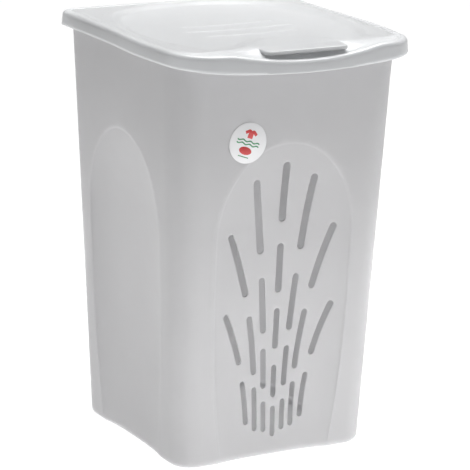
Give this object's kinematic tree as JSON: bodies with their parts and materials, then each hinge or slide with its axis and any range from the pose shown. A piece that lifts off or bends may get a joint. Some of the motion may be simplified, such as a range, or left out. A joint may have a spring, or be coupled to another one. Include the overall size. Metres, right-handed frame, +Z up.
{
  "type": "laundry hamper",
  "caption": "Square tapered laundry hamper with fan-shaped ventilation slots and a rear-hinged lid with a front finger grip.",
  "frame": {"origin": "centre of the base on the floor", "axes": "+Z up, front with the slots and the grip towards -Y, hinge at the back, +X to the right seen from the front"},
  "size_m": [0.3538, 0.408, 0.563],
  "materials": {
    "bin_plastic": "fine satin texture, white polypropylene",
    "lid_plastic": "smooth semi-gloss white polypropylene",
    "label_paper": "printed film sticker"
  },
  "bodies": {
    "bin": {"bin": "bin_plastic", "hinge_pin_left": "lid_plastic", "hinge_pin_right": "lid_plastic", "label": "label_paper"},
    "lid": {"lid": "lid_plastic"}
  },
  "joints": [
    {"name": "lid_hinge", "type": "hinge", "parent": "bin", "child": "lid", "pos_m": [0, 0.181, 0.54], "axis": [-1, 0, 0], "range_deg": [0, 100]}
  ]
}
